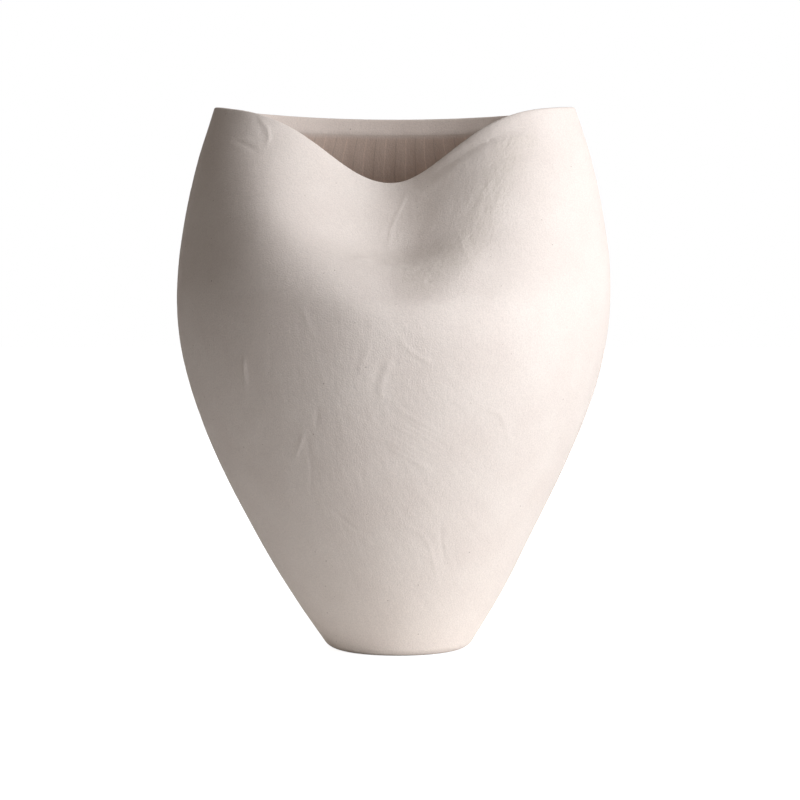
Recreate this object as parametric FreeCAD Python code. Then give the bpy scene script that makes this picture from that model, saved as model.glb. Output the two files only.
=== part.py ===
import FreeCAD
import Part

import math
import os

os.makedirs("parts", exist_ok=True)

# A hand-built stoneware vase. It stands on the plane z = 0 with its foot centred on the
# origin, the front looks along -Y, and the wall there is pressed in below the mouth.
# Millimetres and radians. A rise is a height measured up the wall before it is pressed.

# The body: a round pot that widens to its belly and is flattened above it to a long mouth
height = 300.0
foot_radius = 38.9
belly_radius = 120.2
belly_rise = 200.0
mouth_half_width = 99.7
mouth_half_depth = 66.0
lean = 3.3
wall = 6.5

# The foot
slab_thickness = 10.0
foot_round = 4.0

# The press in the front wall: where it starts, how deep it is at the rim, how far it
# spreads to the left and right there, and how far left of the middle it lies
press_start = 168.0
press_depth = 32.0
press_left_spread = 44.0
press_right_spread = 42.0
press_offset = 3.8

# The dip that the press leaves in the front rim
dip_depth = 40.1
dip_left_spread = 33.3
dip_right_spread = 31.0
dip_offset = 2.3

# The slight sag of the rim between its two ends
sag_start = 200.0
back_sag = 4.0
front_sag = 1.9

# The rim: a last coil, thinned to a lip by a bevel on its inner side
rim_coil_height = 9.0
lip_thickness = 2.5
lip_round = 0.8

# The joints between the courses of the wall
lower_joint_rise = 105.0
upper_joint_rise = 184.0

# How finely the skins are measured out, and the sectors that their faces are cut into
ring_points = 72
ring_spacing = 8.0
sector_count = 8

# The side up to the belly: rise, width from the foot's radius to the belly's, how far the
# depth has gone from the width to the mouth's depth, and the lean to the left
lower_side_shares = [
    (0.00, 0.000, 0.00, 0.00),
    (0.15, 0.234, 0.00, 0.21),
    (0.35, 0.501, 0.00, 0.76),
    (0.55, 0.739, 0.00, 1.00),
    (0.75, 0.918, 0.00, 0.82),
    (0.90, 0.989, 0.00, 0.76),
    (1.00, 1.000, 0.03, 0.73),
]

# The side from the belly to the rim, with the width from the belly's to the mouth's
upper_side_shares = [
    (0.10, 0.020, 0.10, 0.70),
    (0.40, 0.215, 0.40, 0.62),
    (0.70, 0.537, 0.76, 0.61),
    (1.00, 1.000, 1.00, 0.61),
]

# The press from its start to the rim: rise, depth, spread to the left and right, and how
# far left of the middle it lies
press_shares = [
    (0.00, 0.000, 0.35, 2.25, -1.55),
    (0.12, 0.014, 0.35, 2.25, -1.55),
    (0.21, 0.080, 0.35, 2.35, -1.10),
    (0.31, 0.198, 0.38, 2.25, -0.45),
    (0.46, 0.375, 0.49, 1.60, 0.40),
    (0.59, 0.590, 0.65, 1.12, 1.25),
    (0.73, 0.680, 0.81, 0.98, 1.50),
    (0.85, 0.780, 0.97, 1.04, 1.30),
    (1.00, 1.000, 1.00, 1.00, 1.00),
]

# How far towards the front a place has to be for the press to reach it fully
full_press_share = 0.5

# How much of a slab's or a lip's thickness a rounded edge may take up
round_limit_share = 0.45


def side_stations():
    """Rise, half width, half depth and shift to the right at each station up the side."""
    stations = []
    for rise, width, flatness, shift in lower_side_shares:
        half_width = foot_radius + (belly_radius - foot_radius) * width
        half_depth = half_width + (mouth_half_depth - half_width) * flatness
        stations.append((belly_rise * rise, half_width, half_depth, -lean * shift))
    for rise, width, flatness, shift in upper_side_shares:
        half_width = belly_radius + (mouth_half_width - belly_radius) * width
        half_depth = half_width + (mouth_half_depth - half_width) * flatness
        station_rise = belly_rise + (height - belly_rise) * rise
        stations.append((station_rise, half_width, half_depth, -lean * shift))
    return stations


def press_stations():
    """Rise, share of the depth, the two spreads and the offset at each station up the press."""
    stations = []
    for rise, depth, left, right, offset in press_shares:
        station_rise = press_start + (height - press_start) * rise
        spreads = (press_left_spread * left, press_right_spread * right)
        stations.append((station_rise, depth, *spreads, press_offset * offset))
    return stations


side = side_stations()
press = press_stations()


def eased(stations, column, rise):
    """The value of a column at a rise, on a smooth curve through the stations."""

    def climb(j):
        return (stations[j + 1][column] - stations[j][column]) / (stations[j + 1][0] - stations[j][0])

    def slope(j):
        if j == 0:
            return climb(0) if stations[0][column] else 0
        if j == len(stations) - 1:
            return climb(j - 1)
        below = stations[j][0] - stations[j - 1][0]
        above = stations[j + 1][0] - stations[j][0]
        return (climb(j - 1) * above + climb(j) * below) / (below + above)

    rise = min(max(rise, stations[0][0]), stations[-1][0])
    i = 0
    while i < len(stations) - 2 and rise > stations[i + 1][0]:
        i += 1
    span = stations[i + 1][0] - stations[i][0]
    t = (rise - stations[i][0]) / span
    from_below = stations[i][column] * (1 + 2 * t) + slope(i) * span * t
    from_above = stations[i + 1][column] * (3 - 2 * t) - slope(i + 1) * span * (1 - t)
    return from_below * (1 - t) ** 2 + from_above * t ** 2


def faded(value, low, high):
    """Zero below low, one above high, and smooth between."""
    t = min(max((value - low) / (high - low), 0), 1)
    return t * t * (3 - 2 * t)


def bell(distance, left_spread, right_spread):
    """One at no distance, falling off smoothly by its own spread on each side."""
    spread = left_spread if distance < 0 else right_spread
    return math.exp(-(distance / spread) ** 2 / 2)


def outside_point(angle, rise):
    """A point of the outside, at an angle round the vase and a rise."""
    across = eased(side, 1, rise) * math.cos(angle)
    backwards = math.sin(angle)
    reach = eased(press, 1, rise) * faded(-backwards, 0, full_press_share)
    left_spread = eased(press, 2, rise)
    right_spread = eased(press, 3, rise)
    offset = eased(press, 4, rise)
    push = press_depth * reach * bell(across + offset, left_spread, right_spread)
    dip = dip_depth * reach * bell(across + dip_offset, dip_left_spread, dip_right_spread)
    sag = back_sag if backwards > 0 else front_sag
    droop = sag * backwards ** 2 * faded(rise, sag_start, height)
    return FreeCAD.Vector(
        across + eased(side, 3, rise),
        eased(side, 2, rise) * backwards + push,
        rise - dip - droop,
    )


def skin_through(point_at, rises):
    """A closed skin through rings of points. Its parameters are the angle and the rise."""
    angles = [2 * math.pi * i / ring_points for i in range(ring_points + 1)]
    rings = []
    for rise in rises:
        ring = Part.BSplineCurve()
        points = [point_at(angle, rise) for angle in angles[:-1]]
        ring.interpolate(Points=points, PeriodicFlag=True, Parameters=angles)
        rings.append(ring)
    poles = []
    for i in range(ring.NbPoles):
        column = Part.BSplineCurve()
        column.interpolate(Points=[ring.getPole(i + 1) for ring in rings], Parameters=rises)
        poles.append(column.getPoles())
    skin = Part.BSplineSurface()
    skin.buildFromPolesMultsKnots(
        poles,
        ring.getMultiplicities(),
        column.getMultiplicities(),
        ring.getKnots(),
        column.getKnots(),
        True,
        False,
        ring.Degree,
        column.Degree,
    )
    return skin


def even_rises(low, high):
    """Rises from low to high, at most a ring spacing apart."""
    count = max(math.ceil((high - low) / ring_spacing), 3)
    return [low + (high - low) * i / count for i in range(count + 1)]


outside = skin_through(outside_point, even_rises(0, height))


def inset_point(angle, rise, thickness):
    """A point level with the outside's, as far in as leaves the wall this thick."""
    normal = outside.normal(angle, rise)
    level = math.hypot(normal.x, normal.y)
    inward = FreeCAD.Vector(-normal.x, -normal.y, 0) / level
    return outside.value(angle, rise) + inward * (thickness / level)


def inside_point(angle, rise):
    """A point of the inside of the full wall."""
    return inset_point(angle, rise, wall)


def lip_point(angle, rise):
    """A point of the inside of a wall that is as thin as the lip."""
    return inset_point(angle, rise, lip_thickness)


inside = skin_through(inside_point, even_rises(slab_thickness, height))


def sectors():
    """The angles between which each face runs, so that no face closes on itself."""
    step = 2 * math.pi / sector_count
    return [(step * i, step * (i + 1)) for i in range(sector_count)]


def strip(skin, low, high):
    """The faces of a skin between two rises."""
    faces = []
    for start, end in sectors():
        patch = skin.copy()
        patch.segment(start, end, low, high)
        faces.append(patch.toShape())
    return faces


def bridge(skin, rise, other_skin, other_rise):
    """The faces from a skin's ring at one rise to another skin's ring."""
    ring = skin.vIso(rise)
    other_ring = other_skin.vIso(other_rise)
    return [
        Part.makeRuledSurface(ring.toShape(start, end), other_ring.toShape(start, end))
        for start, end in sectors()
    ]


def disc(skin, rise):
    """The flat face inside a level ring of a skin."""
    ring = skin.vIso(rise)
    return [Part.Face(Part.Wire([ring.toShape(start, end) for start, end in sectors()]))]


def solid_from(faces):
    """The solid that a closed set of faces bounds."""
    sewn = Part.makeCompound(faces)
    sewn.sewShape()
    solid = Part.makeSolid(sewn.Shells[0])
    if solid.Volume < 0:
        solid.reverse()
    return solid


def rounded(solid, rings, radius):
    """The solid with its edges along these rings rounded."""
    ring_edges = [skin.vIso(rise).toShape() for skin, rise in rings]

    def lies_along(edge, ring_edge):
        middle = (edge.FirstParameter + edge.LastParameter) / 2
        points = [edge.valueAt(t) for t in (edge.FirstParameter, middle, edge.LastParameter)]
        return all(ring_edge.distToShape(Part.Vertex(point))[0] < radius for point in points)

    chosen = [edge for edge in solid.Edges if any(lies_along(edge, ring) for ring in ring_edges)]
    return solid.makeFillet(radius, chosen).Solids[0]


def foot_slab():
    """The round slab that the wall stands on, with its lower edge wiped round."""
    slab = strip(outside, 0, slab_thickness) + disc(outside, 0) + disc(outside, slab_thickness)
    radius = min(foot_round, slab_thickness * round_limit_share)
    return rounded(solid_from(slab), [(outside, 0)], radius)


def course(low, high):
    """One course of the wall, from one joint to the next."""
    return solid_from(
        strip(outside, low, high)
        + strip(inside, low, high)
        + bridge(outside, low, inside, low)
        + bridge(outside, high, inside, high)
    )


def rim_coil(low):
    """The last coil of the wall, bevelled on the inside to a thin rounded lip."""
    lip = skin_through(lip_point, even_rises(low, height))
    coil = solid_from(
        strip(outside, low, height)
        + bridge(outside, height, lip, height)
        + bridge(lip, height, inside, low)
        + bridge(outside, low, inside, low)
    )
    radius = min(lip_round, lip_thickness * round_limit_share)
    return rounded(coil, [(outside, height), (lip, height)], radius)


rim_joint_rise = height - rim_coil_height
pieces = {
    "foot_slab": foot_slab(),
    "lower_course": course(slab_thickness, lower_joint_rise),
    "belly_course": course(lower_joint_rise, upper_joint_rise),
    "shoulder_course": course(upper_joint_rise, rim_joint_rise),
    "rim_coil": rim_coil(rim_joint_rise),
}

for name, piece in pieces.items():
    piece.exportStep("parts/" + name + ".step")
    print(name, "valid", piece.isValid(), "volume", round(piece.Volume))
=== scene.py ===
import itertools
import math
import random

import bmesh
import bpy
import numpy as np
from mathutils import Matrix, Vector


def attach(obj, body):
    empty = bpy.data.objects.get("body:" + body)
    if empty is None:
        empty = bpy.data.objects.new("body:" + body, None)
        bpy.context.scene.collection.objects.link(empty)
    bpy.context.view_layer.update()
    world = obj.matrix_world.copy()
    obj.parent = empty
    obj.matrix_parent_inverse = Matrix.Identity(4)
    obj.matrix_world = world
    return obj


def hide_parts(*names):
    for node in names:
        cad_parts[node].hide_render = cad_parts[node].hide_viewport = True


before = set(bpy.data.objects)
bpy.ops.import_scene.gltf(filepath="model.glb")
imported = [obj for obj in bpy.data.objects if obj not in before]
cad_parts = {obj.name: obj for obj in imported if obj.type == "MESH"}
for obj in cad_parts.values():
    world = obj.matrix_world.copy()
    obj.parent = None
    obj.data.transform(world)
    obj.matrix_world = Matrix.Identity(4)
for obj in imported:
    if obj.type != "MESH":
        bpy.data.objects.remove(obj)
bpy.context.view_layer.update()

# A hand-built stoneware vase, fired and left bare. Sizes are in millimetres until a mesh is
# made, and a rise is a height measured up the wall before its front is pressed in.

# The form, which is that of the solids

# The body: a round pot that widens to its belly and is flattened above it to a long mouth
height = 300.0
foot_radius = 38.9
belly_radius = 120.2
belly_rise = 200.0
mouth_half_width = 99.7
mouth_half_depth = 66.0
lean = 3.3
wall = 6.5

# The foot
slab_thickness = 10.0
foot_round = 4.0

# The press in the front wall: where it starts, how deep it is at the rim, how far it spreads
# to the left and right there, and how far left of the middle it lies
press_start = 168.0
press_depth = 32.0
press_left_spread = 44.0
press_right_spread = 42.0
press_offset = 3.8

# How far towards the front a place has to be for the press to reach it fully
full_press_share = 0.5

# The dip that the press leaves in the front rim
dip_depth = 40.1
dip_left_spread = 33.3
dip_right_spread = 31.0
dip_offset = 2.3

# The slight sag of the rim between its two ends
sag_start = 200.0
back_sag = 4.0
front_sag = 1.9

# The rim: a last coil, thinned to a lip by a bevel on its inner side
rim_coil_height = 9.0
lip_thickness = 2.5
lip_round = 0.8

# The joints between the courses of the wall
lower_joint_rise = 105.0
upper_joint_rise = 184.0
rim_joint_rise = height - rim_coil_height

# The side up to the belly: rise, width from the foot's radius to the belly's, how far the
# depth has gone from the width to the mouth's depth, and the lean to the left
lower_side_shares = np.array([
    (0.00, 0.000, 0.00, 0.00),
    (0.15, 0.234, 0.00, 0.21),
    (0.35, 0.501, 0.00, 0.76),
    (0.55, 0.739, 0.00, 1.00),
    (0.75, 0.918, 0.00, 0.82),
    (0.90, 0.989, 0.00, 0.76),
    (1.00, 1.000, 0.03, 0.73),
])

# The side from the belly to the rim, with the width from the belly's to the mouth's
upper_side_shares = np.array([
    (0.10, 0.020, 0.10, 0.70),
    (0.40, 0.215, 0.40, 0.62),
    (0.70, 0.537, 0.76, 0.61),
    (1.00, 1.000, 1.00, 0.61),
])

# The press from its start to the rim: rise, depth, spread to the left and right, and how far
# left of the middle it lies
press_shares = np.array([
    (0.00, 0.000, 0.35, 2.25, -1.55),
    (0.12, 0.014, 0.35, 2.25, -1.55),
    (0.21, 0.080, 0.35, 2.35, -1.10),
    (0.31, 0.198, 0.38, 2.25, -0.45),
    (0.46, 0.375, 0.49, 1.60, 0.40),
    (0.59, 0.590, 0.65, 1.12, 1.25),
    (0.73, 0.680, 0.81, 0.98, 1.50),
    (0.85, 0.780, 0.97, 1.04, 1.30),
    (1.00, 1.000, 1.00, 1.00, 1.00),
])

# The short way, in radians and in millimetres, over which the skin's slope is measured
turn_step = 0.001
rise_step = 0.05


def side_stations():
    """Rise, half width, half depth and shift to the right at each station up the side."""
    rows = []
    for shares, low, high, narrow, wide in (
        (lower_side_shares, 0, belly_rise, foot_radius, belly_radius),
        (upper_side_shares, belly_rise, height, belly_radius, mouth_half_width),
    ):
        half_width = narrow + (wide - narrow) * shares[:, 1]
        half_depth = half_width + (mouth_half_depth - half_width) * shares[:, 2]
        rise = low + (high - low) * shares[:, 0]
        rows.append(np.stack([rise, half_width, half_depth, -lean * shares[:, 3]], 1))
    return np.concatenate(rows)


side = side_stations()
press = np.stack([
    press_start + (height - press_start) * press_shares[:, 0],
    press_shares[:, 1],
    press_left_spread * press_shares[:, 2],
    press_right_spread * press_shares[:, 3],
    press_offset * press_shares[:, 4],
], 1)


def eased(stations, column, rise):
    """The values of a column at these rises, on a smooth curve through the stations."""
    rises = stations[:, 0]
    values = stations[:, column]
    spans = np.diff(rises)
    climbs = np.diff(values) / spans
    slopes = np.empty_like(values)
    slopes[0] = climbs[0] if values[0] else 0
    slopes[1:-1] = (climbs[:-1] * spans[1:] + climbs[1:] * spans[:-1]) / (spans[:-1] + spans[1:])
    slopes[-1] = climbs[-1]
    rise = np.clip(rise, rises[0], rises[-1])
    i = np.clip(np.searchsorted(rises, rise) - 1, 0, len(spans) - 1)
    t = (rise - rises[i]) / spans[i]
    from_below = values[i] * (1 + 2 * t) + slopes[i] * spans[i] * t
    from_above = values[i + 1] * (3 - 2 * t) - slopes[i + 1] * spans[i] * (1 - t)
    return from_below * (1 - t) ** 2 + from_above * t ** 2


def faded(value, low, high):
    """Zero below low, one above high, and smooth between."""
    t = np.clip((value - low) / (high - low), 0, 1)
    return t * t * (3 - 2 * t)


def bell(distance, left_spread, right_spread):
    """One at no distance, falling off smoothly by its own spread on each side."""
    spread = np.where(distance < 0, left_spread, right_spread)
    return np.exp(-(distance / spread) ** 2 / 2)


def outside_point(angle, rise):
    """Points of the smooth outside, at these angles round the vase and rises."""
    across = eased(side, 1, rise) * np.cos(angle)
    backwards = np.sin(angle)
    reach = eased(press, 1, rise) * faded(-backwards, 0, full_press_share)
    left_spread = eased(press, 2, rise)
    right_spread = eased(press, 3, rise)
    offset = eased(press, 4, rise)
    push = press_depth * reach * bell(across + offset, left_spread, right_spread)
    dip = dip_depth * reach * bell(across + dip_offset, dip_left_spread, dip_right_spread)
    sag = np.where(backwards > 0, back_sag, front_sag)
    droop = sag * backwards ** 2 * faded(rise, sag_start, height)
    return np.stack([
        across + eased(side, 3, rise),
        eased(side, 2, rise) * backwards + push,
        rise - dip - droop,
    ], 1)


def outside_normal(angle, rise):
    """The directions that the smooth outside faces at these places."""
    around = outside_point(angle + turn_step, rise) - outside_point(angle - turn_step, rise)
    high = np.minimum(rise + rise_step, height)
    low = np.maximum(rise - rise_step, 0)
    normal = np.cross(around, outside_point(angle, high) - outside_point(angle, low))
    return normal / np.linalg.norm(normal, axis=1)[:, None]


# The potter's marks. Places on the front are across and up, as seen level from the front

# A hand leaves long shallow swells, a scraper shorter ones: size and height
swells = [(60.0, 0.55), (24.0, 0.16), (9.0, 0.035)]

# The scraper's upright ripples: how large across, backwards and up, and how high
ripple_size = (3.0, 3.0, 26.0)
ripple_height = 0.05

# Single marks: height (below zero for a groove), width, and the places that it runs through
marks = [
    (0.20, 1.7, [(-3.2, 168.5), (-6.9, 158.6), (-9.4, 150.1), (-6.8, 145.0)]),
    (-0.14, 2.0, [(-7.4, 170.0), (-10.6, 160.0), (-13.6, 151.0), (-11.8, 145.5)]),
    (0.20, 1.8, [(-14.6, 174.0), (-17.1, 167.9), (-20.5, 159.5)]),
    (0.20, 1.1, [(1.6, 178.5), (2.1, 174.1), (5.3, 171.0), (11.0, 167.0), (19.0, 163.5)]),
    (0.19, 1.0, [(4.8, 254.0), (1.4, 245.5), (-3.6, 233.5), (-5.6, 221.5)]),
    (0.45, 1.0, [(-23.0, 217.9), (-14.0, 216.2)]),
    (0.22, 1.1, [(-9.0, 214.8), (0.0, 214.4), (10.0, 212.6)]),
    (0.75, 1.0, [(-81.3, 166.5), (-80.9, 158.0), (-80.1, 151.0)]),
    (0.16, 1.4, [(-50.8, 194.5), (-47.5, 186.5), (-45.4, 180.0)]),
    (0.12, 1.2, [(-54.0, 184.0), (-52.6, 175.5)]),
    (-0.26, 1.2, [(-41.8, 140.0), (-42.5, 135.0), (-43.2, 129.5)]),
    (0.34, 1.1, [(-49.2, 127.0), (-51.8, 119.5), (-54.8, 111.5)]),
    (-0.16, 1.2, [(-47.8, 126.0), (-46.2, 110.0), (-46.1, 92.0)]),
    (0.14, 1.1, [(7.6, 75.0), (12.0, 72.6), (15.3, 67.8), (18.5, 57.0), (21.0, 43.0)]),
    (-0.15, 1.2, [(22.5, 80.0), (22.4, 68.1), (24.6, 54.0)]),
    (0.06, 1.4, [(24.0, 68.0), (29.0, 52.0), (35.0, 35.0)]),
    (0.24, 1.3, [(44.1, 140.2), (53.0, 136.6), (57.4, 127.6), (58.0, 120.0)]),
    (-0.14, 1.2, [(-41.0, 90.0), (-23.5, 75.0), (-10.0, 70.0)]),
    (-0.05, 1.0, [(-90.0, 134.0), (-82.0, 125.0)]),
    (0.34, 1.2, [(-75.5, 293.5), (-70.6, 287.0), (-69.5, 282.4), (-70.6, 277.0)]),
    (-0.10, 1.6, [(-76.5, 290.5), (-73.5, 285.0), (-73.0, 280.0)]),
    (-0.32, 1.2, [(-89.6, 281.3), (-82.2, 277.9), (-75.4, 273.6)]),
    (0.09, 1.4, [(45.8, 252.5), (42.5, 244.0), (39.0, 235.5)]),
    (0.09, 1.4, [(55.0, 254.0), (52.5, 248.0), (49.5, 241.5)]),
    (0.09, 1.5, [(70.0, 252.2), (65.0, 247.5), (60.2, 242.0)]),
    (0.12, 1.1, [(31.8, 231.5), (33.6, 224.5), (34.8, 217.5)]),
    (-0.12, 1.4, [(36.6, 233.0), (38.4, 225.5), (39.6, 217.0)]),
    (-0.06, 1.0, [(86.1, 286.0), (85.6, 265.0), (85.0, 244.0)]),
    (-0.10, 1.2, [(50.0, 268.5), (62.0, 272.5), (80.0, 275.5)]),
]

# Broad low forms, written in the same way: the full left shoulder, the crease down the middle
# of the press, the ridge and groove round its lower right side, and a swell left of the middle
broad_marks = [
    (2.45, 22.0, [(-74.0, 284.0), (-75.0, 245.0), (-72.0, 198.0)]),
    (-0.60, 11.0, [(15.0, 250.0), (10.0, 236.0), (3.0, 221.0), (1.0, 212.0), (2.0, 203.0)]),
    (0.45, 8.0, [(31.0, 234.0), (31.5, 224.0), (35.0, 216.0), (28.0, 209.5), (18.0, 205.0)]),
    (-0.45, 8.0, [(46.0, 236.0), (48.5, 224.5), (52.0, 209.5), (39.0, 195.5), (24.0, 188.0)]),
    (0.80, 19.0, [(-14.0, 232.0), (-17.0, 205.0), (-26.0, 170.0), (-34.0, 130.0), (-32.0, 90.0)]),
]

# How many widths a mark reaches to each side, and how bluntly its two ends taper off
mark_reach = 3
mark_end = 0.02
mark_bluntness = 0.6

# How far forwards the wall has to face to carry the marks of the front: hardly, and fully
front_facing = (0.05, 0.35)

# Small pits where grog was dragged out: how deep, how wide, and where
pit_depth = 0.30
pit_width = 0.9
pits = [(58.0, 278.7), (48.5, 280.5), (45.4, 255.4), (15.6, 206.0)]

# The fingers' soft roll of the rim: a ridge above a shallow groove, each a rise and a width.
# It is faint on the left, builds up to the right of the middle and fades at the right end
roll_height = 0.32
roll_ridge = (297.5, 3.0)
roll_groove = (290.5, 3.0)
roll_left_share = 0.1
roll_builds = (0.0, 30.0)
roll_fades = (56.0, 80.0)

# How strong the roll is on average, how much that varies, and over what length
roll_mean = 0.7
roll_change = 0.6
roll_change_size = 12.0

# The scraper's chatter right of the middle: parallel scratches, running down to the right,
# some of them set back along their run by a share of it
scratch_count = 8
scratch_pitch = 2.8
scratch_height = 0.2
scratch_width = 0.8
scratch_start = (-4.5, 132.5)
scratch_end = (17.0, 120.0)
scratch_setback = 0.12

# The belt of wrinkles that the press left, from the rim down: its middle, its width, and
# over what share of its length and what height below the rim's coil it starts
wrinkle_belt = [(72.0, 292.0), (59.0, 275.4), (46.2, 246.1), (34.3, 222.0), (10.0, 208.0)]
wrinkle_belt_width = 14.0
wrinkle_start_share = 0.08
wrinkle_start_height = 6.0

# The wrinkles: how high, and how large across, backwards and up once they lean to the right.
# The finer ones are this share as high, and all of them get lower down the belt
wrinkle_height = 0.06
wrinkle_size = (2.4, 5.0, 11.0)
fine_wrinkle_size = (1.8, 3.0, 5.0)
fine_wrinkle_share = 0.6
wrinkle_top_share = 1.15
wrinkle_lean = np.array([(0.88, 0.0, 0.47), (0.0, 1.0, 0.0), (-0.47, 0.0, 0.88)])

# Short creases strewn along that belt: how many, and the least and most of each measure
crease_seed = 5
crease_count = 110
crease_height = (0.012, 0.034)
crease_width = (0.8, 1.3)
crease_length = (3.0, 9.0)

# Where along the belt the creases start, how far they stray across it, how steep they are in
# degrees at each share of its length, how far they turn from that, and how much they bend
crease_start = 0.06
crease_scatter = 10.5
crease_slopes = [(0.0, 54.0), (0.6, 66.0), (1.0, 38.0)]
crease_turn = 13.0
crease_bend = 0.12

# The upright strokes of a wooden rib on the wall's inside: how many go round, how high each
# is, and what shares of it are raised and taken up by its soft edge
stroke_count = 36
stroke_height = 0.18
stroke_share = 0.46
stroke_edge_share = 0.13

# The strokes wander by these shares of a stroke, over these lengths, and fade out below the
# bevel. Their freshness is a mean, how much that varies, and over what length
stroke_wanders = [(0.10, 18.0), (0.05, 7.0)]
stroke_fade = 3.0
stroke_mean = 0.75
stroke_change = 0.35
stroke_change_size = 13.0

# The inside's own soft swells: size and height
inside_swell_size = 30.0
inside_swell_height = 0.20

# The wiped bevel inside the rim: where it starts, how soft the edge of the inside's painted shade
# is there, how much less of that painted shade it takes than the wall below, and the share of its
# height over which it bends inwards
bevel_start = 289.5
bevel_soft = 1.5
bevel_shade_cut = 0.7
bevel_bend = 0.35

# The bevel's lower edge wanders by this much, in waves: how many go round, phase and share
bevel_wander = 0.8
bevel_waves = [(7, 1.0, 0.50), (17, 2.0, 0.35), (31, 0.0, 0.30)]


def lattice(i, j, k, seed):
    """A fixed value from -1 to 1, different at each point of a lattice, from large primes."""
    mixed = (i * 73856093) ^ (j * 19349663) ^ (k * 83492791) ^ (seed * 2654435761)
    mixed = ((mixed ^ (mixed >> 13)) * 1274126177) & 0x7FFFFFFF
    mixed = ((mixed ^ (mixed >> 15)) * 668265263) & 0x7FFFFFFF
    return mixed / 0x3FFFFFFF - 1


# Turned off the axes, so that the noise shows no direction of its own
skew = np.array([(0.80, 0.36, -0.48), (-0.60, 0.48, -0.64), (0.00, 0.80, 0.60)])


def unevenness(points, size, seed):
    """Smooth noise from -1 to 1, with swells of this size."""
    place = points @ skew / size
    cell = np.floor(place).astype(np.int64)
    t = place - cell
    t = t ** 3 * (t * (6 * t - 15) + 10)
    total = np.zeros(len(points))
    for corner in itertools.product((0, 1), repeat=3):
        weight = np.prod(np.where(corner, t, 1 - t), axis=1)
        total += weight * lattice(*(cell + corner).T, seed)
    return total


def nearest(across, up, places):
    """How far each point is from a line through these places, and how far along it."""
    best = np.full(len(across), np.inf)
    along = np.zeros(len(across))
    lengths = [math.dist(a, b) for a, b in zip(places, places[1:])]
    walked = 0
    for (x, z), (x_end, z_end), length in zip(places, places[1:], lengths):
        t = ((across - x) * (x_end - x) + (up - z) * (z_end - z)) / length ** 2
        t = np.clip(t, 0, 1)
        distance = np.hypot(across - x - t * (x_end - x), up - z - t * (z_end - z))
        closer = distance < best
        best = np.where(closer, distance, best)
        along = np.where(closer, walked + t * length, along)
        walked += length
    return best, along / walked


def marked(points, mark_height, width, places):
    """How much one mark raises these points. It tapers off at both ends."""
    raised = np.zeros(len(points))
    reach = mark_reach * width
    low = np.min(places, axis=0) - reach
    high = np.max(places, axis=0) + reach
    flat = points[:, [0, 2]]
    near = np.all((flat > low) & (flat < high), axis=1)
    distance, along = nearest(flat[near, 0], flat[near, 1], places)
    taper = np.sin(np.pi * np.clip(along, mark_end, 1 - mark_end)) ** mark_bluntness
    raised[near] = mark_height * taper * np.exp(-(distance / width) ** 2)
    return raised


def scratches():
    """The chatter's scratches, as marks beside each other."""
    run = Vector(scratch_end) - Vector(scratch_start)
    beside = Vector((-run.y, run.x)).normalized() * scratch_pitch
    found = []
    for i in range(scratch_count):
        setback = run * scratch_setback * ((i * 5) % 3 - 2)
        shift = beside * (i - scratch_count / 2) - setback
        start = Vector(scratch_start) + shift
        found.append((scratch_height, scratch_width, [tuple(start), tuple(start + run)]))
    return found


def creases():
    """Short marks strewn along the wrinkles' belt, each a low ridge or a shallow groove."""
    strewn = random.Random(crease_seed)
    found = []
    xs, ups = np.array(wrinkle_belt).T
    lengths = np.concatenate([[0], np.cumsum(np.hypot(np.diff(xs), np.diff(ups)))])
    for _ in range(crease_count):
        along = strewn.uniform(crease_start, 1)
        x = np.interp(along * lengths[-1], lengths, xs) + strewn.gauss(0, crease_scatter)
        up = np.interp(along * lengths[-1], lengths, ups) + strewn.gauss(0, crease_scatter / 2)
        slope = np.interp(along, *zip(*crease_slopes)) + strewn.gauss(0, crease_turn)
        half = strewn.uniform(*crease_length) / 2
        step = Vector((math.cos(math.radians(slope)), math.sin(math.radians(slope)))) * half
        raised = strewn.uniform(*crease_height) * strewn.choice((1, 1, -1))
        middle = Vector((x, up))
        bend = Vector((-step.y, step.x)) * strewn.uniform(-crease_bend, crease_bend)
        places = [tuple(middle - step), tuple(middle + bend), tuple(middle + step)]
        found.append((raised, strewn.uniform(*crease_width), places))
    return found


def wrinkling(points, rise):
    """How much the wall is wrinkled, and how far along the wrinkles' belt that is."""
    distance, along = nearest(points[:, 0], points[:, 2], wrinkle_belt)
    belt = np.exp(-(distance / wrinkle_belt_width) ** 2) * faded(along, 0, wrinkle_start_share)
    return belt * (1 - faded(rise, rim_joint_rise - wrinkle_start_height, rim_joint_rise)), along


def rolled(points, rise):
    """How much the roll of the rim raises these points."""
    ridge, groove = [np.exp(-((rise - at) / wide) ** 2) for at, wide in (roll_ridge, roll_groove)]
    at_right = faded(points[:, 0], *roll_builds) * (1 - faded(points[:, 0], *roll_fades))
    uneven = roll_mean + roll_change * unevenness(points, roll_change_size, seed=41)
    strength = roll_left_share + (1 - roll_left_share) * at_right
    return roll_height * (ridge - groove) * uneven * strength


def wrinkled_by(points, rise):
    """How much the wrinkles raise these points."""
    belt, along = wrinkling(points, rise)
    leaning = points @ wrinkle_lean.T
    wrinkles = unevenness(leaning, wrinkle_size, seed=21)
    wrinkles += fine_wrinkle_share * unevenness(leaning, fine_wrinkle_size, seed=22)
    return wrinkle_height * belt * wrinkles * (wrinkle_top_share - along)


def outside_relief(points, normals, rise):
    """How far the hand-worked outside stands out from the smooth one."""
    raised = ripple_height * unevenness(points, ripple_size, seed=11)
    for number, (size, swell) in enumerate(swells):
        raised += swell * unevenness(points, size, seed=number)
    front = faded(-normals[:, 1], *front_facing)
    for mark in marks + broad_marks + scratches() + creases():
        raised += front * marked(points, *mark)
    for x, up in pits:
        distance = np.hypot(points[:, 0] - x, points[:, 2] - up)
        raised -= front * pit_depth * np.exp(-(distance / pit_width) ** 2)
    return raised + front * (rolled(points, rise) + wrinkled_by(points, rise))


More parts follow.
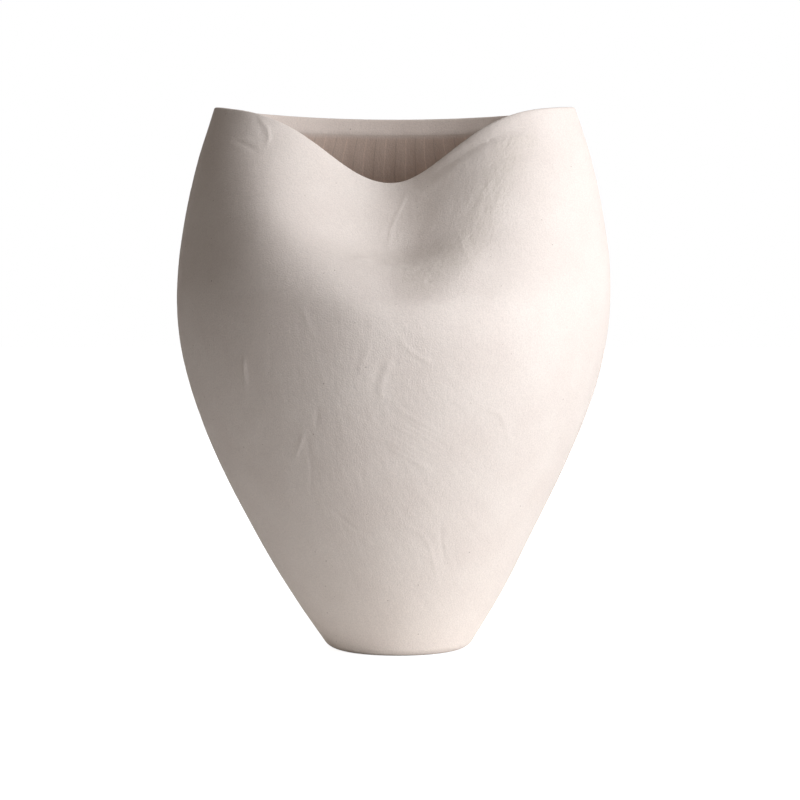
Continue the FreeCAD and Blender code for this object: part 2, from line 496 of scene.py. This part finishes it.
def inside_relief(points, rise):
    """How far the inside stands into the hollow: the strokes of the rib, and soft swells."""
    turns = np.arctan2(points[:, 1], points[:, 0]) / (2 * math.pi) * stroke_count
    for seed, (wander, size) in enumerate(stroke_wanders, 31):
        turns = turns + wander * unevenness(points, size, seed)
    place = np.abs((turns % 1) - 0.5) * 2
    flank = 1 - stroke_share
    stroke = faded(place, flank - stroke_edge_share, flank + stroke_edge_share)
    fresh = stroke_mean + stroke_change * unevenness(points, stroke_change_size, seed=33)
    below_bevel = 1 - faded(rise, bevel_start - stroke_fade, bevel_start)
    swell = inside_swell_height * unevenness(points, inside_swell_size, seed=34)
    return stroke_height * stroke * fresh * below_bevel + swell


# The clay body. Each piece is spun as a straight-walled blank, and then pressed to the form.
# In the blank, the share of the way through the wall is 0 on the outside, 1 on the inside and
# 2 on the axis

# The blank: its radius in metres, how it is spun, and how much closer together its columns
# are pushed at the front
blank_radius = 0.10
sectors = 8
sector_columns = 76
front_density = 0.36

# The height of the mesh's cells on the outside and inside, and how many rows of them cross a
# joint, the slab, the bevel, the lip and the slab's edge
outer_cell = 1.0
inner_cell = 3.0
joint_cells = 3
slab_cells = 18
slab_edge_cells = 6
bevel_cells = 12
lip_cells = 3

# How many degrees round a rounded edge each of its rows lies
lip_turns = (0, 22.5, 45, 67.5)
foot_turns = (75, 60, 45, 30, 15)

# Through what shares of the wall the marks of the outside fade, and those of the inside
outside_fade = (0.0, 0.3)
inside_fade = (0.7, 1.0)
joint_face_fade = (1.0, 1.1)
wrinkled_fade = (0.0, 0.5)

# Between what rises the marks fade in above the foot, on the outside and on the inside
outside_foot_fade = (1.0, foot_round + 4.0)
inside_foot_fade = (slab_thickness, slab_thickness + 30.0)

# Edges sharper than this are left sharp
sharp_angle = math.radians(40)


def wall_profile(low, high):
    """The section of one course: up the outside, across, down the inside and across."""
    rows_out = round((high - low) / outer_cell)
    rows_in = round((high - low) / inner_cell)
    return [(0, low, rows_out), (0, high, joint_cells), (1, high, rows_in), (1, low, joint_cells)]


def rounding(share, start, end, turns):
    """Points on a rounded edge, from the side at the first rise to the top at the second."""
    angles = [math.radians(turn) for turn in turns]
    return [(share * (1 - math.cos(a)), start + (end - start) * math.sin(a), 1) for a in angles]


def rim_profile(low):
    """The section of the rim: a bevelled coil with a thin rounded lip."""
    share = lip_round / lip_thickness
    side_top = height - lip_round
    outer_edge = rounding(share, side_top, height, lip_turns)
    inner_edge = [(1 - at, rise, 1) for at, rise, rows in reversed(outer_edge)]
    inner_edge[-1] = (1, side_top, bevel_cells)
    return [
        (0, low, round(rim_coil_height / outer_cell)),
        *outer_edge,
        (share, height, lip_cells),
        (1 - share, height, 1),
        *inner_edge,
        (1, low, joint_cells),
    ]


def slab_profile():
    """The section of the foot: from the axis below, round the wiped edge, and back on top."""
    share = foot_round / wall
    return [
        (2, 0, slab_cells),
        (1, 0, joint_cells),
        (share, 0, 1),
        *rounding(share, foot_round, 0, foot_turns),
        (0, foot_round, slab_edge_cells),
        (0, slab_thickness, joint_cells),
        (1, slab_thickness, slab_cells),
        (2, slab_thickness, 0),
    ]


def spun_blank(corners, closed):
    """The blank of a piece: its section, divided into rows and spun round the axis."""
    bm = bmesh.new()
    ends = corners[1:] + corners[:1] if closed else corners[1:]
    for (share, rise, rows), (next_share, next_rise, _) in zip(corners, ends):
        start = bm.verts.new((blank_radius * (1 - share / 2), 0, rise / 1000))
        end = bm.verts.new((blank_radius * (1 - next_share / 2), 0, next_rise / 1000))
        edge = bm.edges.new((start, end))
        if rows > 1:
            bmesh.ops.subdivide_edges(bm, edges=[edge], cuts=rows - 1)
    bmesh.ops.remove_doubles(bm, verts=bm.verts[:], dist=1e-6)
    part_turn = 2 * math.pi / sectors
    bmesh.ops.spin(
        bm, geom=bm.verts[:] + bm.edges[:], cent=(0, 0, 0), axis=(0, 0, 1), dvec=(0, 0, 0),
        angle=part_turn, steps=sector_columns, use_merge=False, use_duplicate=False)
    bmesh.ops.spin(
        bm, geom=bm.verts[:] + bm.edges[:] + bm.faces[:], cent=(0, 0, 0), axis=(0, 0, 1),
        dvec=(0, 0, 0), angle=2 * math.pi - part_turn, steps=sectors - 1, use_merge=False,
        use_duplicate=True)
    bmesh.ops.remove_doubles(bm, verts=bm.verts[:], dist=1e-6)
    bmesh.ops.recalc_face_normals(bm, faces=bm.faces[:])
    return bm


def wall_thickness(angle, rise):
    """The wall's thickness: full up to the bevel, and thin at the lip."""
    wander = sum(share * np.sin(count * angle + phase) for count, phase, share in bevel_waves)
    start = bevel_start + bevel_wander * wander
    t = np.clip((rise - start) / (height - start), 0, 1)
    bending = np.where(t < bevel_bend, t * t / (2 * bevel_bend), t - bevel_bend / 2)
    return wall - (wall - lip_thickness) * bending / (1 - bevel_bend / 2)


def through_wall(blank):
    """The share of the way through the wall of each point of a blank."""
    return 2 - 2 * np.hypot(blank[:, 0], blank[:, 1]) / blank_radius


def pressed(blank):
    """Where the points of a blank lie in the finished vase, in millimetres."""
    share = through_wall(blank)
    rise = blank[:, 2] * 1000
    even_angle = np.arctan2(blank[:, 1], blank[:, 0])
    angle = even_angle - front_density * np.cos(even_angle)
    base = outside_point(angle, rise)
    normal = outside_normal(angle, rise)
    level = normal[:, :2] / (normal[:, :2] ** 2).sum(1)[:, None]
    depth = wall_thickness(angle, rise) * np.minimum(share, 1)
    place = base.copy()
    place[:, :2] -= level * depth[:, None]
    on_outside = (1 - faded(share, *outside_fade)) * faded(rise, *outside_foot_fade)
    place += normal * (on_outside * outside_relief(base, normal, rise))[:, None]
    on_inside = faded(share, *inside_fade) * (1 - faded(share, *joint_face_fade))
    on_inside = on_inside * faded(rise, *inside_foot_fade)
    place -= normal * (on_inside * inside_relief(base, rise))[:, None]
    to_axis = np.clip(share - 1, 0, 1)
    place[:, 0] += to_axis * (eased(side, 3, rise) - place[:, 0])
    place[:, 1] -= to_axis * place[:, 1]
    return place


def clay_piece(name, node, corners, closed):
    """One piece of the fired body, in place of its solid."""
    bm = spun_blank(corners, closed)
    mesh = bpy.data.meshes.new(name)
    bm.to_mesh(mesh)
    bm.free()
    blank = np.empty(len(mesh.vertices) * 3)
    mesh.vertices.foreach_get("co", blank)
    blank = blank.reshape(-1, 3)
    share = through_wall(blank)
    rise = blank[:, 2] * 1000
    placed = pressed(blank)
    mesh.vertices.foreach_set("co", (placed / 1000).ravel())

    # What the material reads: where the wall is wrinkled, and where the inside takes its painted
    # shade, less of it on the bevel
    belt, _ = wrinkling(placed, rise)
    on_front = (1 - faded(share, *wrinkled_fade)) * (placed[:, 1] < 0)
    wrinkled = mesh.attributes.new("wrinkled", "FLOAT", "POINT")
    wrinkled.data.foreach_set("value", belt * on_front)
    on_bevel = faded(rise, bevel_start - bevel_soft, bevel_start + bevel_soft)
    inside = mesh.attributes.new("inside", "FLOAT", "POINT")
    inside.data.foreach_set("value", faded(share, *inside_fade) * (1 - bevel_shade_cut * on_bevel))
    mesh.update()

    shaped = bmesh.new()
    shaped.from_mesh(mesh)
    bmesh.ops.recalc_face_normals(shaped, faces=shaped.faces[:])
    for face in shaped.faces:
        face.smooth = True
    for edge in shaped.edges:
        edge.smooth = edge.calc_face_angle(0) < sharp_angle
    shaped.to_mesh(mesh)
    shaped.free()
    mesh.materials.append(stoneware)
    piece = bpy.data.objects.new(name, mesh)
    bpy.context.scene.collection.objects.link(piece)
    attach(piece, "root")
    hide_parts(node)


# The material

# The clay's tones, and where in its patches each holds
clay_tones = [(0.35, "#E7DBD0"), (0.65, "#EBE0D5")]
# Painted shade: the inside's darker, browner tone stands in for the shade and warm bounce light in
# the hollow
inside_painted_shade_tone = "#DAC4B3"
# Painted shade: the darker, browner tone along the wrinkles
wrinkle_shade_tone = "#D3C8B8"
speck_tone = "#B8A99C"

# How large each pattern is, in millimetres. Real grog is half a millimetre, which is too fine
# to show, so it is drawn at 0.8
patch_size = 38.0
grog_size = 0.8
hair_pitch = 1.5
drag_pitch = 2.0
speck_spacing = 5.5
painted_line_wander_size = 45.0

# How high each pattern stands, in millimetres
grog_height = 0.15
hair_height = 0.19
drag_height = 0.10

# The hair-fine wrinkles lean to the right by this many degrees, and are this many times as
# long as wide. The drags' pattern is squeezed up the wall to this share, which draws it out
hair_lean = 30.0
hair_stretch = 7.0
drag_squeeze = 0.08

# Painted light and shade on the rib's strokes: a painted highlight line at one edge of each stroke
# and a painted shade line at the other, from 0 to 0.5 across the stroke, and the tone, where 0.5
# leaves the clay as it is
stroke_painted_light_lines = [(0.0, 0.66), (0.05, 0.5), (0.455, 0.5), (0.5, 0.36)]


def colour(hex_code):
    """A colour written as sRGB hex, as linear values."""
    parts = [int(hex_code[i:i + 2], 16) / 255 for i in (1, 3, 5)]
    return [c / 12.92 if c <= 0.04045 else ((c + 0.055) / 1.055) ** 2.4 for c in parts] + [1]


def per_metre(size):
    """The scale that gives a pattern this size, in millimetres, on Object coordinates."""
    return 1000 / size


def add(tree, kind, links=None, **settings):
    """A node with its settings and its inputs' links or values, by the inputs' names or
    numbers. A Mix node's share is 0, its two values are 2 and 3, and its two colours 6 and 7."""
    node = tree.nodes.new(kind)
    for key, value in settings.items():
        setattr(node, key, value)
    for key, value in (links or {}).items():
        if isinstance(value, bpy.types.NodeSocket):
            tree.links.new(value, node.inputs[key])
        else:
            node.inputs[key].default_value = value
    return node


def bisque_stoneware():
    """White stoneware, fired once and left bare: dry, matt and warm white. Its grog gives it
    a fine grain, a few dark specks show, and the scraper leaves faint upright drags."""
    material = bpy.data.materials.new("bisque_stoneware")
    material.use_nodes = True
    tree = material.node_tree
    tree.nodes.clear()
    place = add(tree, "ShaderNodeTexCoord").outputs["Object"]

    # Clay that dried a little unevenly, in patches a few fingers across
    patches = add(tree, "ShaderNodeTexNoise", {
        "Vector": place, "Scale": per_metre(patch_size), "Detail": 4.0, "Roughness": 0.6})
    tones = add(tree, "ShaderNodeValToRGB", {"Fac": patches.outputs["Fac"]})
    for element, (position, tone) in zip(tones.color_ramp.elements, clay_tones):
        element.position = position
        element.color = colour(tone)

    # Grog gives a fine grain, darker and lighter than the clay
    grog = add(tree, "ShaderNodeTexNoise", {
        "Vector": place, "Scale": per_metre(grog_size), "Detail": 2.0, "Roughness": 0.6})
    grog_tones = add(tree, "ShaderNodeMapRange", {
        "Value": grog.outputs["Fac"], "From Min": 0.3, "From Max": 0.7,
        "To Min": 0.925, "To Max": 1.05})

    # Painted shade: the inside is a little darker and browner, for the shade and warm bounce light
    # in the hollow
    inside = add(tree, "ShaderNodeAttribute", attribute_name="inside")
    inside_shade_painted = add(tree, "ShaderNodeMix", {
        0: inside.outputs["Fac"], 6: tones.outputs["Color"], 7: colour(inside_painted_shade_tone)},
        data_type="RGBA")

    # Painted light on each stroke of the rib there: a painted highlight line at one edge and a
    # painted shade line at the other
    axes = add(tree, "ShaderNodeSeparateXYZ", {"Vector": place})
    round_about = add(tree, "ShaderNodeMath", {
        0: axes.outputs["Y"], 1: axes.outputs["X"]}, operation="ARCTAN2")
    wander = add(tree, "ShaderNodeTexNoise", {
        "Vector": place, "Scale": per_metre(painted_line_wander_size), "Detail": 1.0, "Roughness": 0.5})
    turns = add(tree, "ShaderNodeMath", {
        0: round_about.outputs["Value"], 1: stroke_count / (2 * math.pi),
        2: wander.outputs["Fac"]}, operation="MULTIPLY_ADD")
    across = add(tree, "ShaderNodeMath", {0: turns.outputs["Value"], 1: 0.5}, operation="PINGPONG")
    stroke_light_and_shade = add(tree, "ShaderNodeValToRGB", {"Fac": across.outputs["Value"]})
    stroke_light_and_shade.color_ramp.interpolation = "EASE"
    for position, _ in stroke_painted_light_lines[1:-1]:
        stroke_light_and_shade.color_ramp.elements.new(position)
    for element, (position, tone) in zip(stroke_light_and_shade.color_ramp.elements, stroke_painted_light_lines):
        element.position = position
        element.color = (tone, tone, tone, 1)
    painted_line_tones = add(tree, "ShaderNodeMapRange", {
        "Value": stroke_light_and_shade.outputs["Color"], "From Min": 0.0, "From Max": 1.0,
        "To Min": 0.5, "To Max": 1.5})
    below_bevel = add(tree, "ShaderNodeMapRange", {
        "Value": inside.outputs["Fac"], "From Min": 0.5, "From Max": 1.0,
        "To Min": 0.0, "To Max": 1.0})
    painted_line_share = add(tree, "ShaderNodeMix", {
        0: below_bevel.outputs["Result"], 2: 1.0, 3: painted_line_tones.outputs["Result"]},
        data_type="FLOAT")
    light_and_shade_painted = add(tree, "ShaderNodeVectorMath", {
        0: inside_shade_painted.outputs[2], 1: painted_line_share.outputs[0]}, operation="MULTIPLY")
    grained = add(tree, "ShaderNodeVectorMath", {
        0: light_and_shade_painted.outputs["Vector"], 1: grog_tones.outputs["Result"]}, operation="MULTIPLY")

    # Hair-fine wrinkles beside the press, leaning with their belt
    leaning = add(tree, "ShaderNodeMapping", {
        "Vector": place, "Rotation": (0, math.radians(hair_lean), 0),
        "Scale": (1.0, 1.0, hair_stretch)}, vector_type="TEXTURE")
    hairs = add(tree, "ShaderNodeTexNoise", {
        "Vector": leaning.outputs["Vector"], "Scale": per_metre(hair_pitch), "Detail": 2.0,
        "Roughness": 0.6})
    wrinkled = add(tree, "ShaderNodeAttribute", attribute_name="wrinkled")
    hair = add(tree, "ShaderNodeMath", {
        0: hairs.outputs["Fac"], 1: wrinkled.outputs["Fac"]}, operation="MULTIPLY")

    # Painted shade: along them the colour is a shade darker and browner
    wrinkle_shade_share = add(tree, "ShaderNodeMapRange", {
        "Value": hair.outputs["Value"], "From Min": 0.2, "From Max": 0.6,
        "To Min": 0.0, "To Max": 0.30})
    wrinkle_shaded = add(tree, "ShaderNodeMix", {
        0: wrinkle_shade_share.outputs["Result"], 6: grained.outputs["Vector"], 7: colour(wrinkle_shade_tone)},
        data_type="RGBA")

    # Iron specks, a few to a thumb's width and at most 0.7 mm across
    cells = add(tree, "ShaderNodeTexVoronoi", {"Vector": place, "Scale": per_metre(speck_spacing)})
    speck_size = add(tree, "ShaderNodeSeparateColor", {"Color": cells.outputs["Color"]})
    reach = add(tree, "ShaderNodeMapRange", {
        "Value": speck_size.outputs["Red"], "From Min": 0.3, "From Max": 1.0,
        "To Min": 0.0, "To Max": 0.068})
    inside_speck = add(tree, "ShaderNodeMath", {
        0: cells.outputs["Distance"], 1: reach.outputs["Result"]}, operation="LESS_THAN")
    coloured = add(tree, "ShaderNodeMix", {
        0: inside_speck.outputs["Value"], 6: wrinkle_shaded.outputs[2], 7: colour(speck_tone)},
        data_type="RGBA")

    # Faint upright drags of the scraper, a finger long, under the hairs and the grog
    drawn_out = add(tree, "ShaderNodeMapping", {
        "Vector": place, "Scale": (1.0, 1.0, drag_squeeze)})
    drags = add(tree, "ShaderNodeTexNoise", {
        "Vector": drawn_out.outputs["Vector"], "Scale": per_metre(drag_pitch), "Detail": 2.0,
        "Roughness": 0.5})
    drag_bump = add(tree, "ShaderNodeBump", {
        "Height": drags.outputs["Fac"], "Strength": 1.0, "Distance": drag_height / 1000})
    hair_bump = add(tree, "ShaderNodeBump", {
        "Height": hair.outputs["Value"], "Strength": 1.0, "Distance": hair_height / 1000,
        "Normal": drag_bump.outputs["Normal"]})
    grog_bump = add(tree, "ShaderNodeBump", {
        "Height": grog.outputs["Fac"], "Strength": 1.0, "Distance": grog_height / 1000,
        "Normal": hair_bump.outputs["Normal"]})
    shader = add(tree, "ShaderNodeBsdfPrincipled", {
        "Base Color": coloured.outputs[2], "Normal": grog_bump.outputs["Normal"],
        "Roughness": 0.92, "IOR": 1.5, "Specular IOR Level": 0.25})
    add(tree, "ShaderNodeOutputMaterial", {"Surface": shader.outputs["BSDF"]})
    return material


stoneware = bisque_stoneware()

clay_piece("clay_foot_slab", "foot_slab", slab_profile(), False)
for name, low, high in (
    ("lower_course", slab_thickness, lower_joint_rise),
    ("belly_course", lower_joint_rise, upper_joint_rise),
    ("shoulder_course", upper_joint_rise, rim_joint_rise),
):
    clay_piece("clay_" + name, name, wall_profile(low, high), True)
clay_piece("clay_rim_coil", "rim_coil", rim_profile(rim_joint_rise), True)

# The floor and the light, in metres

floor_size = 8.0
paper_tone = "#EDEDED"

# The paper glows round the foot, as painted light that stands in for light bounced off the table:
# how bright it is, from where to where it is covered by the foot, and from where to where it fades
# out
bounce_glow_strength = 0.205
glow_covered = (0.041, 0.052)
glow_fades = (0.10, 0.29)

# Seen directly the paper is this much whiter by the foot, and fully white further out
white_by_foot = 0.90
whitens = (0.05, 0.28)

# The room's own dim warm light, and the tint of the lamps
room_light = (1.0, 0.875, 0.79, 1.0)
room_strength = 0.121
lamp_tint = (0.968, 1.0, 1.075)
lamp_distance = 1.5
lamp_aim = (0.0, 0.0, 0.18)

# The camera stands level with the shoulder and looks a little downwards
camera_place = (0.00084, -1.555, 0.2321)
camera_tilt = 3.459
lens_length = 125.96


def seen_directly(tree):
    """One for rays that reach the eye straight or by a mirror or glass, and zero for light."""
    path = add(tree, "ShaderNodeLightPath")
    glossy = add(tree, "ShaderNodeMath", {
        0: path.outputs["Is Camera Ray"], 1: path.outputs["Is Glossy Ray"]}, operation="MAXIMUM")
    direct = add(tree, "ShaderNodeMath", {
        0: glossy.outputs["Value"], 1: path.outputs["Is Transmission Ray"]}, operation="MAXIMUM")
    return direct.outputs["Value"]


def table_paper():
    """White paper that glows faintly round the foot, a painted bounce light that lights the vase
    from below. Seen directly it is white, with only the vase's shadow on it."""
    material = bpy.data.materials.new("table_paper")
    material.use_nodes = True
    tree = material.node_tree
    tree.nodes.clear()
    paper = add(tree, "ShaderNodeBsdfDiffuse", {"Color": colour(paper_tone)})
    place = add(tree, "ShaderNodeTexCoord").outputs["Object"]
    away = add(tree, "ShaderNodeVectorMath", {0: place}, operation="LENGTH").outputs["Value"]
    fading = add(tree, "ShaderNodeMapRange", {
        "Value": away, "From Min": glow_fades[0], "From Max": glow_fades[1],
        "To Min": bounce_glow_strength, "To Max": 0.0})
    uncovered = add(tree, "ShaderNodeMapRange", {
        "Value": away, "From Min": glow_covered[0], "From Max": glow_covered[1],
        "To Min": 0.0, "To Max": 1.0})
    glowing = add(tree, "ShaderNodeMath", {
        0: fading.outputs["Result"], 1: uncovered.outputs["Result"]}, operation="MULTIPLY")
    bounce_glow = add(tree, "ShaderNodeEmission", {
        "Color": (1, 1, 1, 1), "Strength": glowing.outputs["Value"]})
    lit = add(tree, "ShaderNodeAddShader", {0: paper.outputs["BSDF"], 1: bounce_glow.outputs["Emission"]})
    whitening = add(tree, "ShaderNodeMapRange", {
        "Value": away, "From Min": whitens[0], "From Max": whitens[1],
        "To Min": white_by_foot, "To Max": 1.0})
    white = add(tree, "ShaderNodeEmission", {
        "Color": (1, 1, 1, 1), "Strength": whitening.outputs["Result"]})
    shown = add(tree, "ShaderNodeAddShader", {
        0: paper.outputs["BSDF"], 1: white.outputs["Emission"]})
    mixed = add(tree, "ShaderNodeMixShader", {
        0: seen_directly(tree), 1: lit.outputs["Shader"], 2: shown.outputs["Shader"]})
    add(tree, "ShaderNodeOutputMaterial", {"Surface": mixed.outputs["Shader"]})
    return material


def table_top():
    """The pale floor that the vase stands on."""
    bm = bmesh.new()
    bmesh.ops.create_grid(bm, x_segments=1, y_segments=1, size=floor_size / 2)
    mesh = bpy.data.meshes.new("table_top")
    bm.to_mesh(mesh)
    bm.free()
    mesh.materials.append(table_paper())
    table = bpy.data.objects.new("table_top", mesh)
    bpy.context.scene.collection.objects.link(table)


def white_room():
    """An even white surround: bright behind the vase, dim as a light."""
    world = bpy.data.worlds.new("white_room")
    world.use_nodes = True
    tree = world.node_tree
    tree.nodes.clear()
    dim = add(tree, "ShaderNodeBackground", {"Color": room_light, "Strength": room_strength})
    bright = add(tree, "ShaderNodeBackground", {"Color": (1, 1, 1, 1), "Strength": 1.0})
    mixed = add(tree, "ShaderNodeMixShader", {
        0: seen_directly(tree), 1: dim.outputs["Background"], 2: bright.outputs["Background"]})
    add(tree, "ShaderNodeOutputWorld", {"Surface": mixed.outputs["Shader"]})
    bpy.context.scene.world = world


def softbox(name, azimuth, elevation, width, tall, power):
    """A soft lamp. Azimuth turns from the front towards the right."""
    a, e = math.radians(azimuth), math.radians(elevation)
    away = Vector((math.sin(a) * math.cos(e), -math.cos(a) * math.cos(e), math.sin(e)))
    lamp = bpy.data.lights.new(name, "AREA")
    lamp.shape = "RECTANGLE"
    lamp.size = width
    lamp.size_y = tall
    lamp.energy = power
    lamp.color = lamp_tint
    holder = bpy.data.objects.new(name, lamp)
    bpy.context.scene.collection.objects.link(holder)
    holder.location = Vector(lamp_aim) + away * lamp_distance
    holder.rotation_euler = away.to_track_quat("Z", "Y").to_euler()


def camera():
    """The photograph's view of the vase, from the front."""
    lens = bpy.data.cameras.new("camera")
    lens.sensor_width = 36.0
    lens.lens = lens_length
    lens.clip_end = 50.0
    holder = bpy.data.objects.new("camera", lens)
    bpy.context.scene.collection.objects.link(holder)
    holder.location = camera_place
    holder.rotation_euler = (math.radians(90 - camera_tilt), 0, 0)
    bpy.context.scene.camera = holder


table_top()
white_room()
softbox("key_softbox", azimuth=55.2, elevation=21, width=1.2, tall=1.5, power=26.2)
softbox("back_softbox", azimuth=182, elevation=25, width=0.8, tall=1.2, power=5.0)
camera()
bpy.context.scene.view_settings.view_transform = "Standard"
